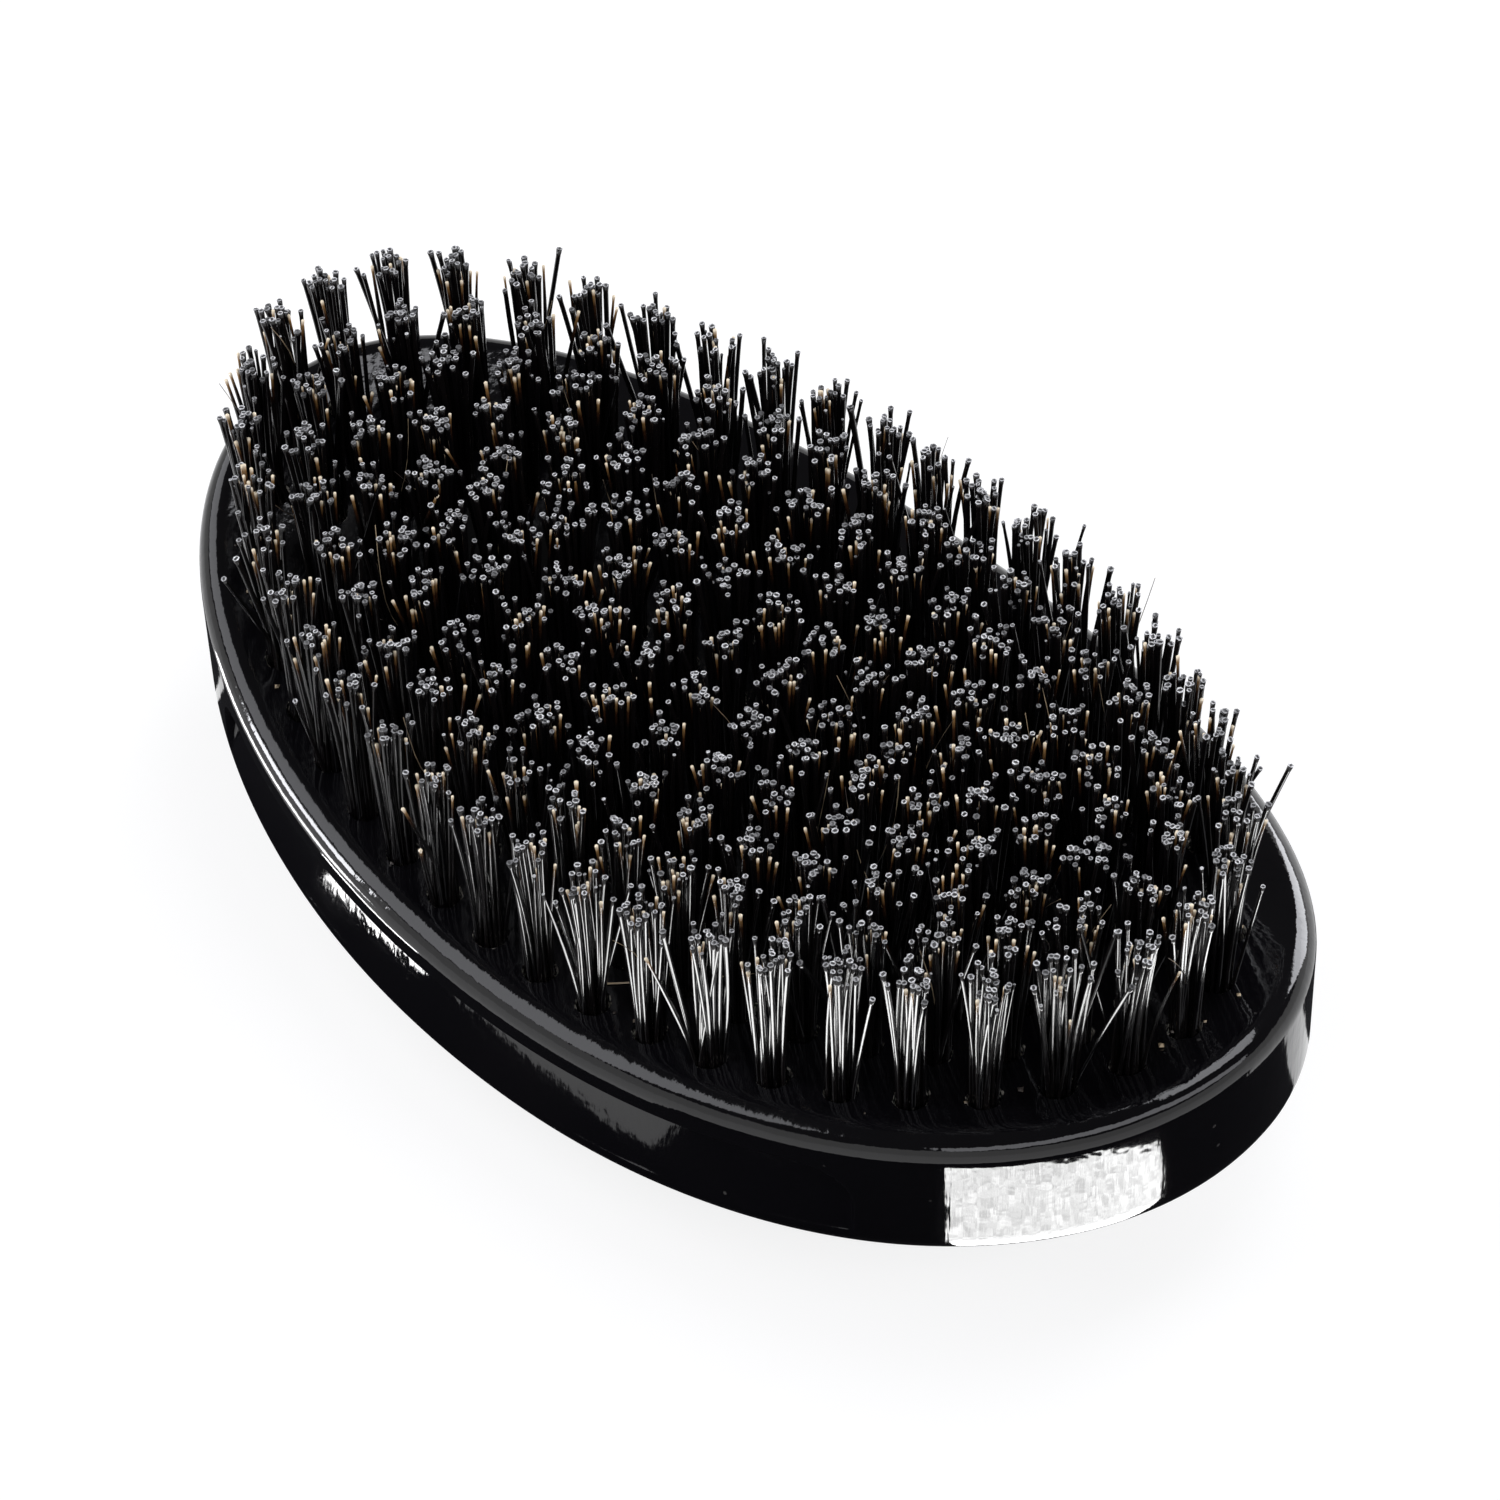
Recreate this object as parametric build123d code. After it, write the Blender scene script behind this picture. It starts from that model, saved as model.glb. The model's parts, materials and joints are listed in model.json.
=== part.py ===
from build123d import *
from math import atan2, cos, degrees, hypot, pi, sin, sqrt
import os

# Palm beard brush: a one-piece lacquered wooden block, hollowed end to end on the bristle
# side, with a finger cove along each long side. Tufts of boar bristle stand in blind holes
# drilled in nested oval rings. Each tuft is folded round a flat wire anchor, which is driven
# across the bottom of its hole and bites into the wood on both sides.
# Millimetres. +X runs along the block, +Z points the way the bristles do. The origin is the
# lowest point of the back, under the middle of the block.

# ---- the block ----
block_length = 115.0
block_width = 66.2
block_thickness = 18.1       # at the middle, between the bristle face and the back
outline_fullness = 2.08      # exponent of the oval: 2 is a plain ellipse, more is squarer
bow_radius = 202.0           # the bristle face is hollowed end to end to this radius
dome_radius = 140.0          # the back is domed to this radius, so the rim is one height all round
face_edge_radius = 2.5
back_edge_radius = 2.2

# ---- the finger coves ----
cove_length = 77.0
cove_lip_drop = 3.8          # from the bristle face down to the lip
cove_depth = 2.3             # how far the lip overhangs the finger
cove_height = 9.0            # from the lip down to where the cove runs out
cove_root_flat = 0.9         # the eased hollow under the lip
cove_end_radius = 5.0        # the rounded upper corners

# ---- holes, tufts and anchors ----
end_margin = 6.6             # from the end of the block to the outermost ring of tufts
side_margin = 5.65           # from the sides of the block to the same ring, on average
pattern_offset = 1.0         # how much nearer the -Y side the whole drilled pattern stands
ring_count = 5
tuft_pitch = 5.8             # along a ring, before it is rounded to a whole number of tufts
ring_start = 1.0             # along a ring, from the long axis to its first tuft
row_inset = 4.4              # how much shorter the middle row is at each end than a ring would be
hole_diameter = 2.9
hole_depth = 8.5
tuft_sides = 5               # holes and tufts alike
tuft_clearance = 0.05        # between the packed bristles and the wall of the hole
bristle_length = 15.5        # standing out of the face
tuft_tip_diameter = 4.3      # the cut ends fan out
anchor_thickness = 0.4
anchor_height = 1.6
anchor_bite = 0.25           # how far each end is driven into the wood
fold_thickness = 0.5         # the bristles folded under the anchor

# ---- worked out from the sizes above ----
half_length = block_length / 2
half_width = block_width / 2
bow_centre_height = block_thickness + bow_radius
cut_past = 5.0               # how far cutting solids reach past what they cut


def face_height(x):
    """Height of the hollowed bristle face at a distance x from the middle."""
    return bow_centre_height - sqrt(bow_radius ** 2 - x ** 2)


def oval_face(half_x, half_y, points=16):
    """A flat oval by the superellipse formula."""
    def on_oval(angle):
        c, s = cos(angle), sin(angle)
        reach = (abs(c) ** outline_fullness + abs(s) ** outline_fullness) ** (-1 / outline_fullness)
        return (half_x * c * reach, half_y * s * reach)
    return make_face(Spline(*[on_oval(2 * pi * i / points) for i in range(points)], periodic=True))


def bow_cylinder(radius):
    """A lying cylinder on the centre of the bow, wider than the block."""
    return Pos(0, 0, bow_centre_height) * Rot(90, 0, 0) * Cylinder(radius, block_width + 2 * cut_past)


def ease_rim(solid, surface, radius):
    """Takes the rim off the large face of one kind, at the slope that just touches a rounded
    edge of this radius halfway round."""
    rim = solid.faces().filter_by(surface).sort_by(SortBy.AREA)[-1].edges()
    return chamfer(rim, radius * (2 - sqrt(2))).solids()[0]


def blank():
    """The block before coves and holes: an oval wall between the bow of the face and the dome
    of the back."""
    wall = extrude(oval_face(half_length, half_width), bow_centre_height / 2)
    back = Pos(0, 0, dome_radius) * Rot(90, 0, 0) * Sphere(dome_radius)
    solid = ((wall & back) - bow_cylinder(bow_radius)).solids()[0]
    solid = ease_rim(solid, GeomType.CYLINDER, face_edge_radius)
    return ease_rim(solid, GeomType.SPHERE, back_edge_radius)


def cove_slot():
    """The outline of the +Y cove, seen from the side and run inwards: its top follows the bow
    below the bristle face, and its upper corners are rounded."""
    lip_bow = bow_radius + cove_lip_drop
    below_bow = Circle(lip_bow + block_thickness) - Circle(lip_bow)
    middle = bow_centre_height - lip_bow
    outline = Pos(0, bow_centre_height) * below_bow & Pos(0, middle) * Rectangle(cove_length, 2 * middle)
    outline = fillet(outline.vertices().sort_by(Axis.Y)[-2:], cove_end_radius)
    return extrude(Plane.XZ.offset(-half_width - cut_past) * outline, half_width / 2 + cut_past)


def cove_core():
    """The wood that stays inside the +Y cove. Its face, the floor of the cove, is deepest
    under the lip and runs out to the wall below it. It turns about a leaning axis, so that
    it follows both the oval and the bow."""
    lip_height = block_thickness - cove_lip_drop
    lean = Vector(0, half_width / half_length ** 2, -1 / (bow_radius + cove_lip_drop))
    turning_radius = 1 / lean.length
    outward = lean.normalized()
    lip_point = Vector(0, half_width, lip_height)
    floor_axis = Axis(lip_point - outward * turning_radius, outward.cross(Vector(1, 0, 0)))
    under_lip = Vector(0, half_width - cove_depth, lip_height)
    floor_run = Vector(0, cove_depth, -cove_height)
    top = under_lip - floor_run
    bottom = under_lip + floor_run * 2
    inward = outward * -half_width
    section = make_face(Polyline(top, bottom, bottom + inward, top + inward, close=True))
    half_turn = degrees(atan2(cove_length, turning_radius))
    return revolve(section, floor_axis, 2 * half_turn).rotate(floor_axis, -half_turn)


def cove_cutter():
    """What the +Y cove takes out of the block, with the hollow under its lip eased."""
    cutter = (cove_slot() - cove_core()).solids().sort_by(Axis.Y)[-1]
    floor = cutter.faces().filter_by(GeomType.CONE)[0]
    return chamfer(floor.edges().sort_by(Axis.Z)[1:], cove_root_flat).solids().sort_by(Axis.Y)[-1]


def ring_spots(half_x, half_y, steps=720):
    """Hole centres round one ellipse, spaced evenly along it by walking it in short steps."""
    angles = [2 * pi * i / steps for i in range(steps + 1)]
    walked = [0.0]
    for a, b in zip(angles, angles[1:]):
        walked.append(walked[-1] + hypot(half_x * (cos(b) - cos(a)), half_y * (sin(b) - sin(a))))
    count = round(walked[-1] / tuft_pitch)
    spots = []
    for n in range(count):
        goal = (ring_start + walked[-1] * n / count) % walked[-1]
        i = next(i for i in range(steps) if walked[i + 1] >= goal)
        share = (goal - walked[i]) / (walked[i + 1] - walked[i])
        angle = angles[i] + share * (angles[i + 1] - angles[i])
        spots.append((half_x * cos(angle), half_y * sin(angle) - pattern_offset))
    return spots


def row_spots(half_row):
    """Hole centres along the straight row in the middle."""
    gaps = 2 * round(half_row / tuft_pitch)
    return [(half_row * (2 * n / gaps - 1), -pattern_offset) for n in range(gaps + 1)]


def hole_layout():
    """Hole centres by name: the rings from the outermost in, then the middle row."""
    outer_x = half_length - end_margin
    outer_y = half_width - side_margin
    step = outer_y / ring_count
    layout = {}
    for n in range(ring_count):
        layout[f"ring_{n + 1}"] = ring_spots(outer_x - n * step, outer_y - n * step)
    layout["middle_row"] = row_spots(outer_x - outer_y - row_inset)
    return layout


def corners(x, y, z, radius, rise=0.0):
    """Corners of a regular polygon round (x, y, z) with a flat towards +X. With a rise, it is
    tilted to climb by that much for each millimetre of x."""
    turns = [2 * pi * (n + 0.5) / tuft_sides for n in range(tuft_sides)]
    return [(x + radius * cos(t), y + radius * sin(t), z + rise * radius * cos(t)) for t in turns]


def hole(x, y):
    """One blind hole, cut square to the length of the bristles."""
    outline = make_face(Polyline(*corners(x, y, face_height(x) - hole_depth, hole_diameter / 2), close=True))
    return extrude(outline, hole_depth + cut_past)


def tuft(x, y):
    """One tuft: it stands on the floor of its hole, fans out all the way up, clears the mouth
    of the hole by the tuft clearance, and is trimmed along the bow."""
    tip_radius = tuft_tip_diameter / 2
    mouth_radius = hole_diameter / 2 - tuft_clearance
    spread = (tip_radius - mouth_radius) / bristle_length
    face = face_height(x)
    slope = x / sqrt(bow_radius ** 2 - x ** 2)
    fold = corners(x, y, face - hole_depth, mouth_radius - spread * hole_depth)
    return ConvexPolyhedron(fold + corners(x, y, face + bristle_length, tip_radius, slope))


def anchor(x, y):
    """One anchor: a flat piece of wire standing on edge across the hole."""
    middle = face_height(x) - hole_depth + fold_thickness + anchor_height / 2
    return Pos(x, y, middle) * Box(anchor_thickness, hole_diameter + 2 * anchor_bite, anchor_height)


def block(layout):
    """The finished block: two coves and every hole."""
    cutter = cove_cutter()
    holes = [hole(x, y) for spots in layout.values() for x, y in spots]
    return (blank() - [cutter, mirror(cutter, Plane.XZ)] - holes).solids()[0]


os.makedirs("parts", exist_ok=True)
layout = hole_layout()
nodes = {"block": block(layout)}
for place, spots in layout.items():
    nodes[f"tuft_{place}"] = Compound([tuft(x, y) for x, y in spots])
    nodes[f"anchor_{place}"] = Compound([anchor(x, y) for x, y in spots])
for name, solid in nodes.items():
    export_step(solid, f"parts/{name}.step")
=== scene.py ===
import json
import math
import bpy
import bmesh
import numpy as np
from mathutils import Matrix, Vector
from mathutils.geometry import delaunay_2d_cdt

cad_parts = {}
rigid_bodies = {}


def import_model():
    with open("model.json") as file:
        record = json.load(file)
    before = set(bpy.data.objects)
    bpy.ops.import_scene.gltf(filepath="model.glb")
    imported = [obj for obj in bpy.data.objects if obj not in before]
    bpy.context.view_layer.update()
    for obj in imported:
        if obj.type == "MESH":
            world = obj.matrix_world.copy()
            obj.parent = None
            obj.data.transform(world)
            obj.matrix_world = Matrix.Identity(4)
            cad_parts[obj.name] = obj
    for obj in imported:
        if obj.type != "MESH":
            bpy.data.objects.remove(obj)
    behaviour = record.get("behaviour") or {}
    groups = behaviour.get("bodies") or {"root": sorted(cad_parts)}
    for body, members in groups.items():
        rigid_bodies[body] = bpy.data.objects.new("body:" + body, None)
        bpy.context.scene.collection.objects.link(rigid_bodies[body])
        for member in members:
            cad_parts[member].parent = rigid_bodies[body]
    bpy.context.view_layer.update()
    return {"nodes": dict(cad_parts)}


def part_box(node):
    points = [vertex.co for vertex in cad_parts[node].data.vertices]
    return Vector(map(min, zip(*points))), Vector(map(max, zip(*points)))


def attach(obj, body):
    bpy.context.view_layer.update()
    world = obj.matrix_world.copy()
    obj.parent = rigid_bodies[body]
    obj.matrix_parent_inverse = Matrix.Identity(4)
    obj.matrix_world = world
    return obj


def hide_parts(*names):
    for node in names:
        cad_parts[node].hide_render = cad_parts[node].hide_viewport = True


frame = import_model()


# ---- The block --------------------------------------------------------------------------
# One piece of close-grained hardwood, bandsawn hollow end to end, routed to an oval with a
# finger cove along each side, eased by hand, drilled, primed and sprayed with several coats
# of black lacquer, which flows soft at the edges and is chipped a little round the holes.

MM = 0.001
block_low, block_high = (Vector(corner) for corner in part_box("block"))
half_length = (block_high.x - block_low.x) / 2
half_width = (block_high.y - block_low.y) / 2
outline_fullness = 2.08
thickness = 18.1 * MM
bow_radius = 202.0 * MM
dome_radius = 140.0 * MM
bow_centre = thickness + bow_radius
face_edge = 2.5 * MM
back_edge = 2.2 * MM
flat_margin = 0.3 * MM
cove_half = 38.5 * MM
cove_lip = 3.8 * MM
cove_depth = 2.3 * MM
cove_height = 9.0 * MM
cove_corner = 5.0 * MM
hole_radius = 1.45 * MM
hole_floor = 4.0 * MM
mouth_depth = 0.16 * MM
mouth_sides = 20
least_chip = 0.06
extra_chip = 0.15


def face_height(x):
    return bow_centre - np.sqrt(bow_radius ** 2 - x ** 2)


def back_height(x, y):
    return dome_radius - np.sqrt(dome_radius ** 2 - x ** 2 - y ** 2)


def oval(turn):
    """Points of the block's outline and the direction square to it, in plan."""
    c, s = np.cos(turn), np.sin(turn)
    reach = (abs(c) ** outline_fullness + abs(s) ** outline_fullness) ** (-1 / outline_fullness)
    point = np.stack([half_length * c * reach, half_width * s * reach], 1)
    steep = outline_fullness - 1
    out = np.stack([np.sign(c) * abs(c * reach) ** steep / half_length,
                    np.sign(s) * abs(s * reach) ** steep / half_width], 1)
    return point, out / np.linalg.norm(out, axis=1, keepdims=True)


def column_turns():
    """Where the upright mesh lines stand: evenly round the block, closer at the cove ends."""
    wide_apart = 0.85 * MM
    close_by = 0.25 * MM
    margin = 1 * MM
    turn = np.linspace(0, 2 * math.pi, 20001)
    point, _ = oval(turn)
    step = np.linalg.norm(np.diff(point, axis=0), axis=1)
    x = abs((point[1:, 0] + point[:-1, 0]) / 2)
    near_end = (x > cove_half - cove_corner - margin) & (x < cove_half + margin)
    spacing = np.where(near_end, close_by, wide_apart)
    walked = np.concatenate([[0], np.cumsum(step / spacing)])
    count = 4 * round(walked[-1] / 4)
    return np.interp(np.arange(count) * walked[-1] / count, walked, turn)


def cove_inset(x, drop):
    """How far the wall steps in at a place along the block and a drop below the face: a crisp
    lip with rounded upper corners, hollow under it, running out downwards."""
    lip_ease = 0.12 * MM
    lip_steepness = 6.0
    hollow = 0.7 * MM
    across = np.maximum(abs(x) - (cove_half - cove_corner), 0)
    above = np.maximum(cove_lip + cove_corner - drop, 0)
    inside = cove_corner - np.hypot(across, above)
    inside = np.where((across == 0) & (above == 0), cove_corner, inside)
    rise = lip_steepness * (np.sqrt(np.maximum(inside, 0) ** 2 + lip_ease ** 2) - lip_ease)
    floor = cove_depth * np.clip(1 - (drop - cove_lip) / cove_height, 0, 1.4)
    blend = np.maximum(hollow - abs(rise - floor), 0)
    return np.maximum(np.minimum(rise, floor) - blend ** 2 / (4 * hollow), 0)


def hole_spots():
    """The middle of every anchor, which is the middle of its hole in plan, by place."""
    spots = {}
    for name, node in frame["nodes"].items():
        if not name.startswith("anchor_"):
            continue
        mesh = bmesh.new()
        mesh.from_mesh(node.data)
        bmesh.ops.remove_doubles(mesh, verts=mesh.verts, dist=0.001 * MM)
        left = set(mesh.verts)
        found = []
        while left:
            island, edge = set(), {next(iter(left))}
            while edge:
                island |= edge
                edge = {e.other_vert(v) for v in edge for e in v.link_edges} - island
            left -= island
            middle = sum((v.co for v in island), Vector()) / len(island)
            found.append((round(middle.x, 7), round(middle.y, 7)))
        mesh.free()
        spots[name.removeprefix("anchor_")] = np.array(sorted(found))
    return spots


def quads_between(rings, count):
    """The faces between rings of points, each of the same count, that follow one another."""
    faces = []
    for ring in range(rings - 1):
        low, high = ring * count, (ring + 1) * count
        for k in range(count):
            n = (k + 1) % count
            faces.append((low + k, high + k, high + n, low + n))
    return faces


def skin_rings(edge_point, out):
    """Rings of points down the block, from the rim of the face over the wall to the back."""
    rings = []
    rim_rings, wall_rings, edge_rings, dome_rings = 14, 9, 9, 26

    def add_ring(plan, z):
        rings.append(np.column_stack([plan, z]))

    plan = edge_point - out * (face_edge + flat_margin)
    add_ring(plan, face_height(plan[:, 0]))
    for roll in np.radians(np.linspace(0, 90, rim_rings)):
        plan = edge_point - out * (face_edge * (1 - math.sin(roll)))
        add_ring(plan, face_height(plan[:, 0]) - face_edge * (1 - math.cos(roll)))
    x = edge_point[:, 0]
    rim_top = face_height(x)
    wall_end = rim_top - back_height(*edge_point.T) - back_edge
    above_lip, at_lip = np.linspace(2.5, 3.6, 5)[1:], np.arange(3.68, 4.9, 0.08)
    below_lip = np.arange(5.05, 9.4, 0.17)
    drops = np.concatenate([above_lip, at_lip, below_lip]) * MM
    for drop in drops:
        add_ring(edge_point - out * cove_inset(x, drop)[:, None], rim_top - drop)
    for share in np.linspace(0, 1, wall_rings)[1:]:
        drop = drops[-1] + share * (wall_end - drops[-1])
        add_ring(edge_point - out * cove_inset(x, drop)[:, None], rim_top - drop)
    for roll in np.radians(np.linspace(0, 90, edge_rings))[1:]:
        plan = edge_point - out * (back_edge * (1 - math.cos(roll)))
        add_ring(plan, back_height(*plan.T) + back_edge * (1 - math.sin(roll)))
    last = rings[-1][:, :2]
    for share in np.linspace(1, 0, dome_rings)[1:-1]:
        plan = last * share
        add_ring(plan, back_height(*plan.T))
    return rings


def block_mesh(spots, rng):
    """The whole skin of the block as one closed mesh."""
    turn = column_turns()
    count = len(turn)
    rings = skin_rings(*oval(turn))
    points = [tuple(p) for ring in rings for p in ring]
    points.append((0.0, 0.0, 0.0))
    faces = quads_between(len(rings), count)
    tail = (len(rings) - 1) * count
    faces += [(tail + c, len(points) - 1, tail + (c + 1) % count) for c in range(count)]
    lacquered, chipped = 0, 1
    finish = [lacquered] * len(faces)

    holes = np.concatenate([spots[place] for place in sorted(spots)])
    circle = [2 * math.pi * k / mouth_sides for k in range(mouth_sides)]
    flat = [Vector(p) for p in rings[0][:, :2]]
    edges = [(c, (c + 1) % count) for c in range(count)]
    for hx, hy in holes:
        first = len(flat)
        chip = least_chip + extra_chip * rng.random(mouth_sides) ** 2
        for k, a in enumerate(circle):
            reach = hole_radius * (1 + chip[k])
            flat.append(Vector((hx + reach * math.cos(a), hy + reach * math.sin(a))))
            edges.append((first + k, first + (k + 1) % mouth_sides))
    grid_step = 2.4 * MM
    grid_margin = 1 * MM
    clear_of_hole = 0.9 * MM
    grid_x = half_length - face_edge - grid_margin
    grid_y = half_width - face_edge - grid_margin
    for gx in np.arange(-half_length, half_length, grid_step):
        for gy in np.arange(-half_width, half_width, grid_step):
            inside = (abs(gx) / grid_x) ** 2 + (abs(gy) / grid_y) ** 2 < 1
            if inside and np.hypot(*(holes - (gx, gy)).T).min() > hole_radius + clear_of_hole:
                flat.append(Vector((gx, gy)))
    cut = delaunay_2d_cdt(flat, edges, [tuple(range(count))], 1, 1e-9)
    new_index = []
    for place, came_from in zip(cut[0], cut[3]):
        if came_from and came_from[0] < count:
            new_index.append(came_from[0])
        else:
            new_index.append(len(points))
            points.append((place.x, place.y, float(face_height(place.x))))
    origin = {o: new_index[i] for i, came_from in enumerate(cut[3]) for o in came_from}
    for tri in cut[2]:
        middle = sum((cut[0][i] for i in tri), Vector((0, 0))) / 3
        if np.hypot(*(holes - tuple(middle)).T).min() > hole_radius:
            faces.append(tuple(new_index[i] for i in tri))
            finish.append(lacquered)
    for h, (hx, hy) in enumerate(holes):
        mouth = [origin[count + h * mouth_sides + k] for k in range(mouth_sides)]
        top = float(face_height(hx))
        for depth in (mouth_depth, hole_floor):
            start = len(points)
            for a in circle:
                px = hx + hole_radius * math.cos(a)
                level = float(face_height(px)) if depth == mouth_depth else top
                points.append((px, hy + hole_radius * math.sin(a), level - depth))
            inner = list(range(start, start + mouth_sides))
            for k in range(mouth_sides):
                n = (k + 1) % mouth_sides
                faces.append((mouth[k], mouth[n], inner[n], inner[k]))
                finish.append(chipped)
            mouth = inner
        faces.append(tuple(mouth))
        finish.append(chipped)

    mesh = bpy.data.meshes.new("lacquered_block")
    mesh.from_pydata(points, [], faces)
    mesh.polygons.foreach_set("material_index", finish)
    mesh.polygons.foreach_set("use_smooth", [True] * len(faces))
    skin = bmesh.new()
    skin.from_mesh(mesh)
    bmesh.ops.recalc_face_normals(skin, faces=skin.faces)
    for edge in skin.edges:
        edge.smooth = len({face.material_index for face in edge.link_faces}) == 1
    skin.to_mesh(mesh)
    skin.free()
    return mesh


def new_material(name):
    """A material, its node tree and its shader."""
    material = bpy.data.materials.new(name)
    material.use_nodes = True
    return material, material.node_tree, material.node_tree.nodes["Principled BSDF"]


def add_node(tree, kind, **numbers):
    """A shader node of one kind, with numbers set on its inputs by their titles."""
    node = tree.nodes.new("ShaderNode" + kind)
    for title, number in numbers.items():
        node.inputs[title.replace("_", " ")].default_value = number
    return node


def on_piece(tree):
    """The place on the piece itself, in metres."""
    return add_node(tree, "TexCoord").outputs["Object"]


def stretched(tree, where, scale):
    """Places scaled by another amount along x, y and z, so that a noise on them draws lines."""
    node = add_node(tree, "Mapping", Scale=scale)
    tree.links.new(where, node.inputs["Vector"])
    return node.outputs["Vector"]


def noise(tree, where, scale, detail=2):
    """A cloudy value over the places given."""
    node = add_node(tree, "TexNoise", Scale=scale, Detail=detail)
    tree.links.new(where, node.inputs["Vector"])
    return node.outputs["Fac"]


def between(tree, value, low, high, to_low, to_high):
    """A value moved from one range to another, and kept inside it."""
    node = add_node(tree, "MapRange", From_Min=low, From_Max=high, To_Min=to_low, To_Max=to_high)
    tree.links.new(value, node.inputs["Value"])
    return node.outputs["Result"]


def combined(tree, operation, first, second, clamp=False):
    """Two values put together by one operation. The second may be a plain number."""
    node = add_node(tree, "Math")
    node.operation = operation
    node.use_clamp = clamp
    tree.links.new(first, node.inputs[0])
    if isinstance(second, float):
        node.inputs[1].default_value = second
    else:
        tree.links.new(second, node.inputs[1])
    return node.outputs[0]


def mixed(tree, share, first, second):
    """Two colours mixed by a share. Each is a plain colour or comes from a node."""
    node = add_node(tree, "MixRGB")
    tree.links.new(share, node.inputs["Fac"])
    for title, colour in (("Color1", first), ("Color2", second)):
        if isinstance(colour, tuple):
            node.inputs[title].default_value = (*colour, 1)
        else:
            tree.links.new(colour, node.inputs[title])
    return node.outputs["Color"]


def shaded(tree, value, first, *others):
    """A colour that runs through stops, each a position and a colour, as a value rises."""
    node = add_node(tree, "ValToRGB")
    stops = node.color_ramp.elements
    for stop, (position, colour) in zip(stops, (first, others[-1])):
        stop.position = position
        stop.color = (*colour, 1)
    for position, colour in others[:-1]:
        stop = stops.new(position)
        stop.color = (*colour, 1)
    tree.links.new(value, node.inputs["Fac"])
    return node.outputs["Color"]


def bumped(tree, height, strength, depth, under=None):
    """The bumps that a height makes, on the plain surface or over other bumps."""
    node = add_node(tree, "Bump", Strength=strength, Distance=depth)
    tree.links.new(height, node.inputs["Height"])
    if under is not None:
        tree.links.new(under, node.inputs["Normal"])
    return node.outputs["Normal"]


def black_lacquer():
    """Deep black lacquer over filled grain: mirror bright, with the ripple and the upright ribs
    of a sprayed coat, sparse dust caught in it and slightly uneven gloss."""
    material, tree, skin = new_material("black_lacquer")
    place = on_piece(tree)
    tint = mixed(tree, noise(tree, place, 90, 4), (0.0014, 0.0013, 0.0024), (0.0040, 0.0036, 0.0044))
    dust = add_node(tree, "TexVoronoi", Scale=420)
    tree.links.new(place, dust.inputs["Vector"])
    speck = between(tree, dust.outputs["Distance"], 0.05, 0.09, 1, 0)
    patch = between(tree, noise(tree, place, 160), 0.56, 0.66, 0, 1)
    fleck = combined(tree, "MULTIPLY", speck, patch)
    tree.links.new(mixed(tree, fleck, tint, (0.12, 0.115, 0.11)), skin.inputs["Base Color"])
    gloss = between(tree, noise(tree, place, 55, 5), 0.35, 0.7, 0.035, 0.10)
    tree.links.new(gloss, skin.inputs["Roughness"])
    skin.inputs["Specular IOR Level"].default_value = 0.5
    ripple = bumped(tree, noise(tree, place, 230, 3), 0.055, 1.2 * MM)
    ribs = noise(tree, stretched(tree, place, (1300, 1300, 90)), 1, 3)
    tree.links.new(bumped(tree, ribs, 0.10, 0.2 * MM, ripple), skin.inputs["Normal"])
    return material


def hole_edge():
    """Inside the holes: thin lacquer over torn wood fibre, paler where it is chipped."""
    material, tree, skin = new_material("hole_edge")
    crumbs = noise(tree, on_piece(tree), 2600, 3)
    shade = shaded(tree, crumbs, (0.50, (0.006, 0.006, 0.006)), (0.60, (0.72, 0.68, 0.60)))
    tree.links.new(shade, skin.inputs["Base Color"])
    skin.inputs["Roughness"].default_value = 0.3
    tree.links.new(bumped(tree, crumbs, 0.8, 0.2 * MM), skin.inputs["Normal"])
    return material


def add_piece(name, mesh, *finishes):
    """A piece put in the scene, with its mesh and its materials."""
    for finish in finishes:
        mesh.materials.append(finish)
    piece = bpy.data.objects.new(name, mesh)
    bpy.context.scene.collection.objects.link(piece)
    return piece


chance = np.random.default_rng(11)
spots = hole_spots()
block = add_piece("lacquered_block", block_mesh(spots, chance), black_lacquer(), hole_edge())
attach(block, "root")
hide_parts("block")


# ---- The anchors ------------------------------------------------------------------------
# Short lengths of flat steel wire, one driven on edge over the fold of each tuft at the
# bottom of its hole. They are bright, with the drawing lines of the wire along them.

def drawn_wire():
    """Bright drawn steel, with fine lines along the wire."""
    material, tree, skin = new_material("drawn_wire")
    lines = noise(tree, stretched(tree, on_piece(tree), (9000, 300, 9000)), 1)
    shade = shaded(tree, lines, (0, (0.42, 0.42, 0.43)), (1, (0.66, 0.66, 0.67)))
    tree.links.new(shade, skin.inputs["Base Color"])
    skin.inputs["Metallic"].default_value = 1.0
    skin.inputs["Roughness"].default_value = 0.3
    return material


wire_finish = drawn_wire()
for place in spots:
    wire = frame["nodes"]["anchor_" + place]
    wire.data.materials.clear()
    wire.data.materials.append(wire_finish)


# ---- The tufts --------------------------------------------------------------------------
# Boar bristle, a few dozen to a tuft, folded in two round the anchor and packed tight in the
# hole. The bristles are straight and springy, fan out a little and are sheared to length: a
# cut one ends in a ring painted pale, a painted highlight of the light its sheared edge
# catches, round its dark core; an uncut one keeps its tapering amber tip.

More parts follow.
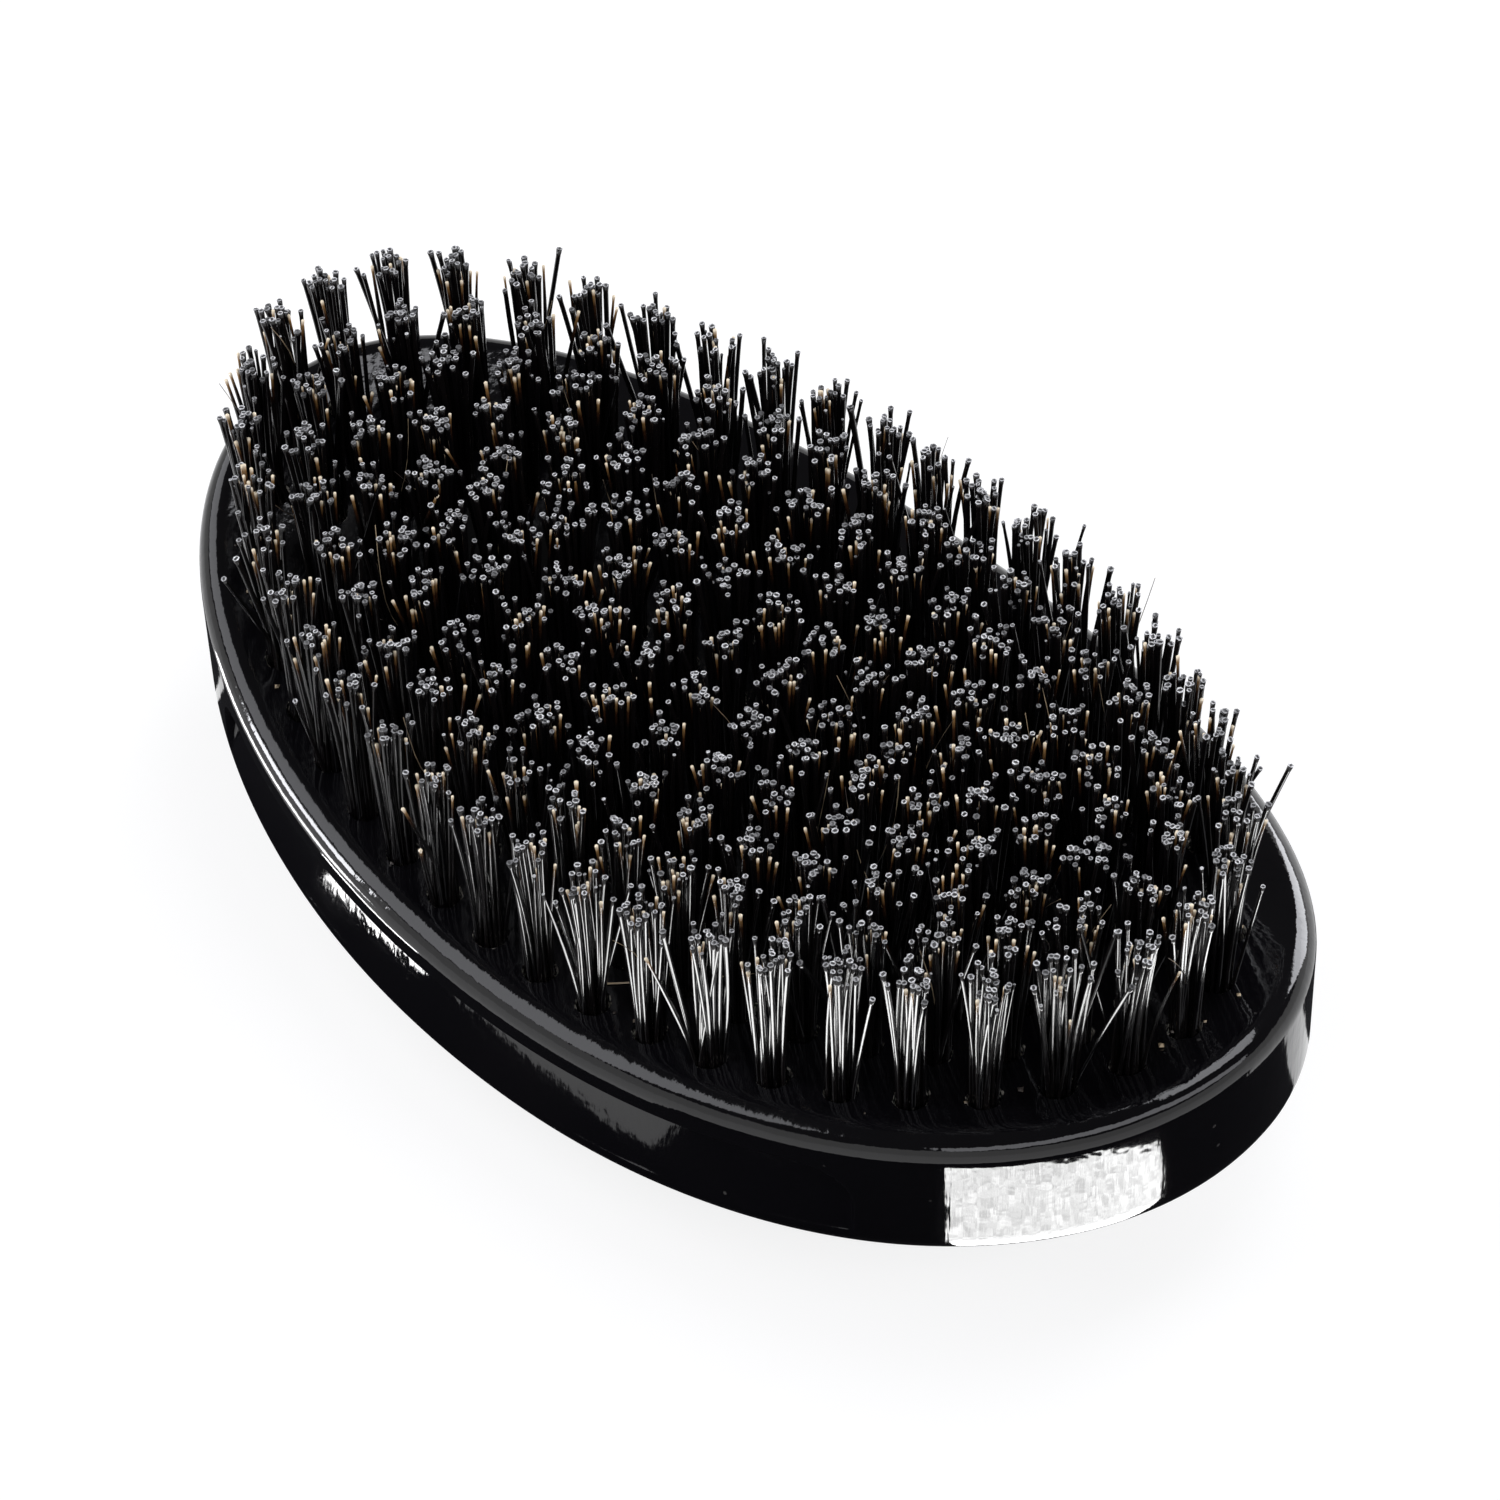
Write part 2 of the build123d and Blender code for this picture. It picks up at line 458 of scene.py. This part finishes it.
bristle_length = 15.5 * MM
bristle_root = -1.5 * MM
bristle_radius = 0.205 * MM
radius_scatter = 0.026 * MM
least_radius, most_radius = 0.13 * MM, 0.27 * MM
packed_radius = 1.20 * MM
tip_spread = 1.40
spread_scatter = 0.35
fan_power = 1.35
bristles_per_tuft = 26
bristle_sides = 6
bristle_steps = 8
golden_turn = 2.39996
turn_scatter = 0.5
ring_scatter = 0.12
firm_bend = 1.9
loose_bend = 1.15
loose_wander = 4.0
loose_share = 0.12
fine_share = 0.34
amber_share = 0.70
tip_wander = 0.46 * MM
tip_lean = 0.9 * MM
sway_size = 0.10 * MM
cut_short = 0.9 * MM
fine_short = 1.8 * MM
loose_short = 2.0 * MM
cut_flare = 0.26
fine_tip = 0.50
fine_run = 0.40
fine_bead = 0.22
fine_dome = 0.14 * MM
core_sink = 0.06 * MM
core_size = 0.64
core_slit = 0.22
shaft_slot, rim_slot, core_slot = 0, 1, 2


def bristle_reach():
    """How far along a bristle its rings stand, from 0 at the foot to 1, closer near the tip."""
    return 1 - (1 - np.linspace(0, 1, bristle_steps)) ** 1.6


def tuft_bristles(hx, hy, rng):
    """The centre lines, radius and kind of the bristles of one tuft."""
    n = bristles_per_tuft
    order = np.arange(n) + 0.5
    ring = np.sqrt(order / n) * (1 + ring_scatter * rng.standard_normal(n))
    turn = order * golden_turn + turn_scatter * rng.standard_normal(n)
    foot = packed_radius * np.clip(ring, 0, 1.05)[:, None] * np.stack([np.cos(turn), np.sin(turn)], 1)
    spread = tip_spread + spread_scatter * rng.standard_normal(n)
    wander = tip_wander * rng.standard_normal((n, 2))
    loose = rng.random(n) < loose_share
    wander[loose] *= loose_wander
    bend = np.where(loose, loose_bend, firm_bend)[:, None, None]
    lean = np.array([hx, 0.35 * hy]) / half_length
    lean = tip_lean * lean * np.hypot(*lean)
    length = bristle_length - cut_short * rng.random(n) ** 2
    fine = rng.random(n) < fine_share
    amber = fine & (rng.random(n) < amber_share)
    length = np.where(fine, length - fine_short * rng.random(n), length)
    length = np.where(loose, length - loose_short * rng.random(n), length)
    radius = np.clip(bristle_radius + radius_scatter * rng.standard_normal(n), least_radius, most_radius)
    t = bristle_reach()[None, :, None]
    sway = sway_size * rng.standard_normal((n, 1, 2)) * np.sin(math.pi * t)
    plan = foot[:, None] * (1 + (spread[:, None, None] - 1) * t ** fan_power)
    plan = plan + (wander[:, None] + lean) * t ** bend + sway
    line = np.empty((n, bristle_steps, 3))
    line[..., :2] = plan + (hx, hy)
    line[..., 2] = face_height(hx) + bristle_root + (length[:, None] - bristle_root) * t[..., 0]
    return line, radius, fine, amber


def bristle_mesh(name, places, rng):
    """One ring of tufts as one mesh: a tube for each bristle. A fine one tapers to a rounded
    tip. A sheared one flares a little at its end, where an inner ring parts rim and core."""
    tufts = [tuft_bristles(x, y, rng) for x, y in places]
    lines, radii, fines, ambers = (np.concatenate(part) for part in zip(*tufts))
    n = len(lines)
    tangent = np.gradient(lines, axis=1)
    tangent /= np.linalg.norm(tangent, axis=2, keepdims=True)
    side = np.cross(tangent, (0.0, 1.0, 0.0))
    side /= np.linalg.norm(side, axis=2, keepdims=True)
    other = np.cross(tangent, side)
    t = bristle_reach()
    tip = fine_tip + (1 - fine_tip) * np.clip((1 - t) / fine_run, 0, 1) + fine_bead * (t == 1)
    taper = np.where(fines[:, None], tip, 1 + cut_flare * (t == 1))
    radius = radii[:, None] * taper
    turn = 2 * math.pi * np.arange(bristle_sides) / bristle_sides
    around = np.cos(turn)[:, None] * side[:, :, None] + np.sin(turn)[:, None] * other[:, :, None]
    tube = lines[:, :, None] + radius[:, :, None, None] * around
    end = lines[:, -1]
    slant = turn + 2 * math.pi * rng.random(n)[:, None]
    long_way = around[:, -1] * (core_size + core_slit * np.cos(2 * slant))[..., None]
    lip = end[:, None] + radius[:, -1, None, None] * long_way
    sink = np.where(fines, -fine_dome, core_sink)[:, None]
    core = (end - sink * tangent[:, -1])[:, None]
    points = np.concatenate([tube.reshape(n, -1, 3), lip, core], 1)
    per = points.shape[1]

    quads = []
    for ring in range(bristle_steps):
        low, high = ring * bristle_sides, (ring + 1) * bristle_sides
        for k in range(bristle_sides):
            m = (k + 1) % bristle_sides
            quads.append((low + k, low + m, high + m, high + k))
    inner = bristle_steps * bristle_sides
    tris = [(inner + k, inner + (k + 1) % bristle_sides, per - 1) for k in range(bristle_sides)]
    shift = (np.arange(n) * per)[:, None, None]
    quads = (np.array(quads)[None] + shift).reshape(-1, 4)
    tris = (np.array(tris)[None] + shift).reshape(-1, 3)
    mesh = bpy.data.meshes.new(name)
    mesh.vertices.add(n * per)
    mesh.vertices.foreach_set("co", points.ravel())
    mesh.loops.add(quads.size + tris.size)
    mesh.loops.foreach_set("vertex_index", np.concatenate([quads.ravel(), tris.ravel()]))
    mesh.polygons.add(len(quads) + len(tris))
    starts = np.concatenate([np.arange(len(quads)) * 4, quads.size + np.arange(len(tris)) * 3])
    mesh.polygons.foreach_set("loop_start", starts)
    mesh.update(calc_edges=True)

    def by_face(values):
        return np.concatenate([np.repeat(values, inner), np.repeat(values, bristle_sides)])

    on_shaft = np.arange(inner) < inner - bristle_sides
    kind = np.where(on_shaft, shaft_slot, rim_slot)
    kind = np.concatenate([np.tile(kind, n), np.full(len(tris), core_slot)])
    # The rounded tips of the fine dark bristles take the rim's painted highlight too; the amber ones keep
    # their shaft colour.
    kind[by_face(fines) & (kind == core_slot)] = rim_slot
    kind[by_face(ambers)] = shaft_slot
    mesh.polygons.foreach_set("material_index", kind)
    mesh.polygons.foreach_set("use_smooth", kind == shaft_slot)
    reach = np.concatenate([np.repeat(t, bristle_sides), np.ones(bristle_sides + 1)])
    for title, values in (
        ("reach", np.tile(reach, n)),
        ("amber", np.repeat(ambers.astype(float), per)),
        ("shade", np.repeat(rng.random(n), per)),
    ):
        mesh.attributes.new(title, "FLOAT", "POINT").data.foreach_set("value", values)
    return mesh


def attribute(tree, name):
    """A value that the mesh carries at each of its points."""
    node = add_node(tree, "Attribute")
    node.attribute_name = name
    return node.outputs["Fac"]


def bristle_shaft():
    """Black boar bristle with a waxy shine; the amber ones pale from brown to cream at the tip."""
    material, tree, skin = new_material("boar_bristle_shaft")
    black = shaded(tree, attribute(tree, "shade"),
                   (0, (0.0020, 0.0018, 0.0026)), (1, (0.0085, 0.0068, 0.0070)))
    pale = shaded(tree, attribute(tree, "reach"),
                  (0.80, (0.006, 0.005, 0.005)), (0.90, (0.055, 0.022, 0.009)),
                  (0.965, (0.42, 0.23, 0.085)), (1.0, (1.0, 0.86, 0.64)))
    colour = mixed(tree, attribute(tree, "amber"), black, pale)
    tree.links.new(colour, skin.inputs["Base Color"])
    scales = noise(tree, on_piece(tree), 1800)
    tree.links.new(between(tree, scales, 0, 1, 0.07, 0.17), skin.inputs["Roughness"])
    skin.inputs["Specular IOR Level"].default_value = 0.6
    tree.links.new(bumped(tree, scales, 0.12, 0.05 * MM), skin.inputs["Normal"])
    return material


def bristle_end(name, dark, light):
    """The sheared end: its rim painted pale, a painted highlight of the light the cut edge
    catches, brighter on some bristles than on others; or the darker pith in its middle.
    """
    material, tree, skin = new_material(name)
    # Painted highlight: the noise breaks each end's pale colour into brighter and dimmer patches.
    shade = shaded(tree, noise(tree, on_piece(tree), 5200), (0.35, dark), (0.65, light))
    # Painted highlight: how brightly each bristle's end catches the light, set bristle by bristle from its
    # random shade.
    glint_share = combined(tree, "POWER", attribute(tree, "shade"), 0.55)
    tree.links.new(mixed(tree, glint_share, (0.05, 0.05, 0.052), shade), skin.inputs["Base Color"])
    skin.inputs["Roughness"].default_value = 0.35
    return material


shaft = bristle_shaft()
# The rim's pale colour is painted light: the highlight that the sheared edge of a black bristle catches.
rim_highlight = bristle_end("boar_bristle_rim_painted_highlight", (0.42, 0.42, 0.44), (1.0, 1.0, 1.0))
cut_core = bristle_end("boar_bristle_cut_core", (0.006, 0.006, 0.007), (0.06, 0.058, 0.06))
for place in spots:
    name = "bristles_" + place
    tufts = add_piece(name, bristle_mesh(name, spots[place], chance), shaft, rim_highlight, cut_core)
    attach(tufts, "root")
    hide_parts("tuft_" + place)


# ---- The trimmings ----------------------------------------------------------------------
# What shearing leaves behind: crumbs of pale bristle round the feet of the outer tufts, one
# fallen bristle on the face, and a few hair-fine underhairs that stand among the others.

crumb_count = 44
crumb_margin = 3.0 * MM
crumb_band = 4.5 * MM
least_crumb = 0.10 * MM
extra_crumb = 0.16 * MM
underhair_count = 34
underhair_radius = 0.055 * MM
underhair_foot = 6 * MM
underhair_reach = 2.6 * MM
underhair_bow = 0.8 * MM
underhair_over = 0.9 * MM
underhair_short = 2.5 * MM
fallen_start = (9.8 * MM, -26.5 * MM)
fallen_end = (20.6 * MM, -14.9 * MM)
fallen_radius = 0.09 * MM
fallen_height = 0.12 * MM
fallen_bow = 0.25 * MM


def trimmings_mesh(rng):
    """All the crumbs and loose hairs as one mesh."""
    points, faces = [], []

    def add_hair(start, end, bow, radius):
        steps, sides = 7, 4
        first = len(points)
        along = (end - start).normalized()
        side = along.cross(Vector((0.3, 0.2, 0.9))).normalized()
        other = along.cross(side)
        for k in range(steps):
            t = k / (steps - 1)
            middle = start.lerp(end, t) + bow * math.sin(math.pi * t)
            for m in range(sides):
                a = 2 * math.pi * m / sides
                points.append(middle + (side * math.cos(a) + other * math.sin(a)) * radius * (1 - 0.5 * t))
        for k in range(steps - 1):
            low, high = first + k * sides, first + (k + 1) * sides
            for m in range(sides):
                n = (m + 1) % sides
                faces.append((low + m, low + n, high + n, high + m))
        last = first + (steps - 1) * sides
        faces.append(tuple(first + m for m in reversed(range(sides))))
        faces.append(tuple(last + m for m in range(sides)))

    turn = 2 * math.pi * rng.random(crumb_count)
    edge, out = oval(turn)
    for place in edge - out * (crumb_margin + crumb_band * rng.random(crumb_count))[:, None]:
        size = least_crumb + extra_crumb * rng.random()
        middle = Vector((*place, float(face_height(place[0])) + 0.6 * size))
        first = len(points)
        for x, y, z in ((1, 0, 0), (0, 1, 0), (-1, 0, 0), (0, -1, 0), (0, 0, 0.7), (0, 0, -0.7)):
            points.append(middle + Vector((x, y, z)) * size * (0.7 + 0.9 * rng.random()))
        for m in range(4):
            n = (m + 1) % 4
            faces.append((first + m, first + n, first + 4))
            faces.append((first + n, first + m, first + 5))
    start, end = (Vector((x, y, float(face_height(x)) + fallen_height))
                  for x, y in (fallen_start, fallen_end))
    add_hair(start, end, Vector((fallen_bow, 0, 0)), fallen_radius)
    feet = np.concatenate([spots[place] for place in sorted(spots)])
    for x, y in feet[rng.permutation(len(feet))[:underhair_count]]:
        level = float(face_height(x))
        foot = Vector((x, y, level + underhair_foot * rng.random()))
        reach = underhair_reach * rng.standard_normal(2)
        height = level + bristle_length + underhair_over - underhair_short * rng.random()
        end = Vector((x + reach[0], y + reach[1], height))
        bow = Vector((*(underhair_bow * rng.standard_normal(2)), 0))
        add_hair(foot, end, bow, underhair_radius)
    mesh = bpy.data.meshes.new("trimmings")
    mesh.from_pydata(points, [], faces)
    return mesh


def pale_bristle():
    """Undyed bristle: cream to golden brown and a little waxy."""
    material, tree, skin = new_material("pale_bristle")
    mottle = noise(tree, on_piece(tree), 260, 3)
    shade = shaded(tree, mottle, (0.42, (0.045, 0.035, 0.030)), (0.60, (0.62, 0.48, 0.30)))
    tree.links.new(shade, skin.inputs["Base Color"])
    skin.inputs["Roughness"].default_value = 0.4
    return material


trimmings = add_piece("trimmings", trimmings_mesh(chance), pale_bristle())
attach(trimmings, "root")


# ---- The table, the light and the camera ------------------------------------------------
# The brush lies on its back on white card that sweeps up all round, under soft boxes. Paper
# round its foot is seen by its gloss alone: black strips keep the floor out of the walls, and
# glowing ones draw the bright lines on the lacquer and the bristles.

def sweep_mesh():
    """A shallow white bowl: flat under the brush, curving up far away."""
    profile = [(0.3, 0.0), (0.9, 0.0), (1.3, 0.02), (1.7, 0.12), (2.0, 0.32), (2.15, 0.6), (2.2, 0.9)]
    count = 96
    points = [(r * math.cos(2 * math.pi * k / count), r * math.sin(2 * math.pi * k / count), z)
              for r, z in profile for k in range(count)]
    points.append((0, 0, 0))
    faces = [(k, (k + 1) % count, len(points) - 1) for k in range(count)]
    faces += quads_between(len(profile), count)
    mesh = bpy.data.meshes.new("white_sweep")
    mesh.from_pydata(points, [], faces)
    mesh.polygons.foreach_set("use_smooth", [True] * len(faces))
    return mesh


def matt_material(name, grey):
    """A material without gloss, which can glow white."""
    material, tree, skin = new_material(name)
    skin.inputs["Base Color"].default_value = (*grey, 1)
    skin.inputs["Roughness"].default_value = 1.0
    skin.inputs["Specular IOR Level"].default_value = 0.0
    skin.inputs["Emission Color"].default_value = (1, 1, 1, 1)
    return material, tree, skin


def white_card():
    """Card that is white to the eye and in gloss and glass, and still takes the shadow."""
    glow = 0.80
    material, tree, skin = matt_material("white_card", (0.27, 0.27, 0.27))
    rays = add_node(tree, "LightPath").outputs
    seen = combined(tree, "ADD", rays["Is Camera Ray"], rays["Is Glossy Ray"], clamp=True)
    seen = combined(tree, "ADD", seen, rays["Is Transmission Ray"], clamp=True)
    tree.links.new(combined(tree, "MULTIPLY", seen, glow), skin.inputs["Emission Strength"])
    return material


floor = add_piece("white_sweep", sweep_mesh(), white_card())

world = bpy.data.worlds.new("dim_room")
bpy.context.scene.world = world
world.use_nodes = True
world.node_tree.nodes["Background"].inputs["Color"].default_value = (1, 1, 1, 1)
world.node_tree.nodes["Background"].inputs["Strength"].default_value = 0.06


def soft_box(name, bearing, height, distance, wide, tall, radiance):
    """A rectangular soft box on a bearing and at a height, in degrees, facing the brush."""
    lamp = bpy.data.lights.new(name, "AREA")
    lamp.shape = "RECTANGLE"
    lamp.size, lamp.size_y = wide, tall
    lamp.energy = radiance * math.pi * wide * tall
    lamp.color = (0.94, 0.95, 1.0)
    a, e = math.radians(bearing), math.radians(height)
    brush_middle = Vector((0, 0, 20 * MM))
    box = bpy.data.objects.new(name, lamp)
    towards = Vector((math.cos(a) * math.cos(e), math.sin(a) * math.cos(e), math.sin(e)))
    box.location = brush_middle + distance * towards
    box.rotation_euler = (brush_middle - box.location).to_track_quat("-Z", "Y").to_euler()
    box.visible_camera = False
    bpy.context.scene.collection.objects.link(box)


def outline_between(first, last):
    """The block's outline between two bearings in degrees: points, directions out, bearings."""
    point, out = oval(np.linspace(0, 2 * math.pi, 721))
    bearing = np.degrees(np.arctan2(out[:, 1], out[:, 0]))
    chosen = ((bearing - first) % 360) <= (last - first)
    order = np.argsort((bearing[chosen] - first) % 360)
    return point[chosen][order], out[chosen][order], np.radians(bearing[chosen][order])


def beside(first, last, near, far):
    """The two edges of a strip of the table along the block, between two bearings."""
    point, out, _ = outline_between(first, last)
    return point + out * near, point + out * far


def mirrored(first, last, reach):
    """The strip of table that the wall between two bearings mirrors towards the lens."""
    tuck = 3 * MM
    lens_bearing = math.radians(-43.1)
    point, out, bearing = outline_between(first, last)
    seen = 2 * bearing - lens_bearing
    return point + out * -tuck, point + reach * np.stack([np.cos(seen), np.sin(seen)], 1)


def slip(x, y, turn, wide, deep):
    """The two long edges of a rectangular slip of paper."""
    along = np.array([math.cos(math.radians(turn)), math.sin(math.radians(turn))])
    across = np.array([-along[1], along[0]])
    ends = np.array([x, y]) + np.outer([-wide / 2, wide / 2], along)
    return ends - across * deep / 2, ends + across * deep / 2


def table_paper(name, strips, glow, level, lit=None):
    """Strips of paper on the table that only gloss sees, and only that of the pieces lit, if
    those are given. They are black, or glow unevenly."""
    points, faces = [], []
    for inner, outer in strips:
        first, count = len(points), len(inner)
        points += [(x, y, level) for x, y in np.concatenate([inner, outer])]
        faces += [(first + k, first + k + 1, first + count + k + 1, first + count + k)
                  for k in range(count - 1)]
    mesh = bpy.data.meshes.new(name)
    mesh.from_pydata(points, [], faces)
    paper, tree, skin = matt_material(name, (0.03, 0.03, 0.032))
    if glow:
        grain = noise(tree, on_piece(tree), 1100, 3)
        uneven = between(tree, grain, 0.35, 0.65, 0.7 * glow, 1.3 * glow)
        tree.links.new(uneven, skin.inputs["Emission Strength"])
    card = add_piece(name, mesh, paper)
    card.visible_camera = False
    card.visible_diffuse = False
    card.visible_shadow = False
    card.visible_transmission = False
    if lit:
        group = bpy.data.collections.new("lit_by_" + name)
        for piece in lit:
            group.objects.link(piece)
        card.light_linking.receiver_collection = group


bristly = [piece for piece in bpy.data.objects if piece.name.startswith("bristles_")]
near_edging = beside(first=-136, last=42, near=-6 * MM, far=16 * MM)
far_edging = beside(first=52, last=222, near=-6 * MM, far=16 * MM)
by_front_tufts = beside(first=-83, last=25, near=10 * MM, far=30 * MM)
by_left_rim = beside(first=-142, last=-108, near=26 * MM, far=46 * MM)
by_cove = slip(x=-26.5 * MM, y=-44.4 * MM, turn=-19, wide=17 * MM, deep=3.2 * MM)
by_end_wall = mirrored(first=-54, last=-19, reach=16.5 * MM)
table_paper("black_paper", [near_edging, far_edging], glow=0, level=0.3 * MM)
table_paper("glow_front", [by_front_tufts], glow=13, level=0.6 * MM, lit=bristly)
table_paper("glow_rim", [by_left_rim], glow=16, level=0.6 * MM, lit=[block])
table_paper("glow_cove", [by_cove], glow=18, level=0.9 * MM, lit=[block])
table_paper("glow_end", [by_end_wall], glow=13, level=0.9 * MM, lit=[block])

soft_box("tent_left", bearing=-150, height=40, distance=0.70, wide=0.90, tall=0.36, radiance=2.5)
soft_box("tent_front", bearing=-20, height=42, distance=0.75, wide=1.60, tall=0.26, radiance=2.5)
soft_box("strip_left", bearing=-135, height=10, distance=0.60, wide=0.16, tall=0.13, radiance=20)
soft_box("box_right", bearing=97, height=20, distance=0.60, wide=0.30, tall=0.30, radiance=7)
soft_box("box_top", bearing=87, height=68, distance=0.60, wide=0.34, tall=0.30, radiance=4.0)

camera_azimuth = math.radians(46.885)
camera_height = math.radians(47.302)
camera_distance = 468.85 * MM
camera_roll = math.radians(-2.034)
camera_offset = (0.933 * MM, 0.466 * MM)
back = Vector((math.sin(camera_azimuth) * math.cos(camera_height),
               -math.cos(camera_azimuth) * math.cos(camera_height), math.sin(camera_height)))
level = Vector((math.cos(camera_azimuth), math.sin(camera_azimuth), 0))
upright = back.cross(level)
right = math.cos(camera_roll) * level + math.sin(camera_roll) * upright
up = math.cos(camera_roll) * upright - math.sin(camera_roll) * level
lens = bpy.data.cameras.new("camera")
lens.lens = 131.96
lens.sensor_width = 36
lens.clip_start = 0.01
lens.clip_end = 10
camera = bpy.data.objects.new("camera", lens)
stand = Vector((0, 0, thickness)) + camera_distance * back + camera_offset[0] * right + camera_offset[1] * up
camera.matrix_world = Matrix.Translation(stand) @ Matrix((right, up, back)).transposed().to_4x4()
bpy.context.scene.collection.objects.link(camera)
bpy.context.scene.camera = camera
bpy.context.scene.view_settings.view_transform = "Standard"
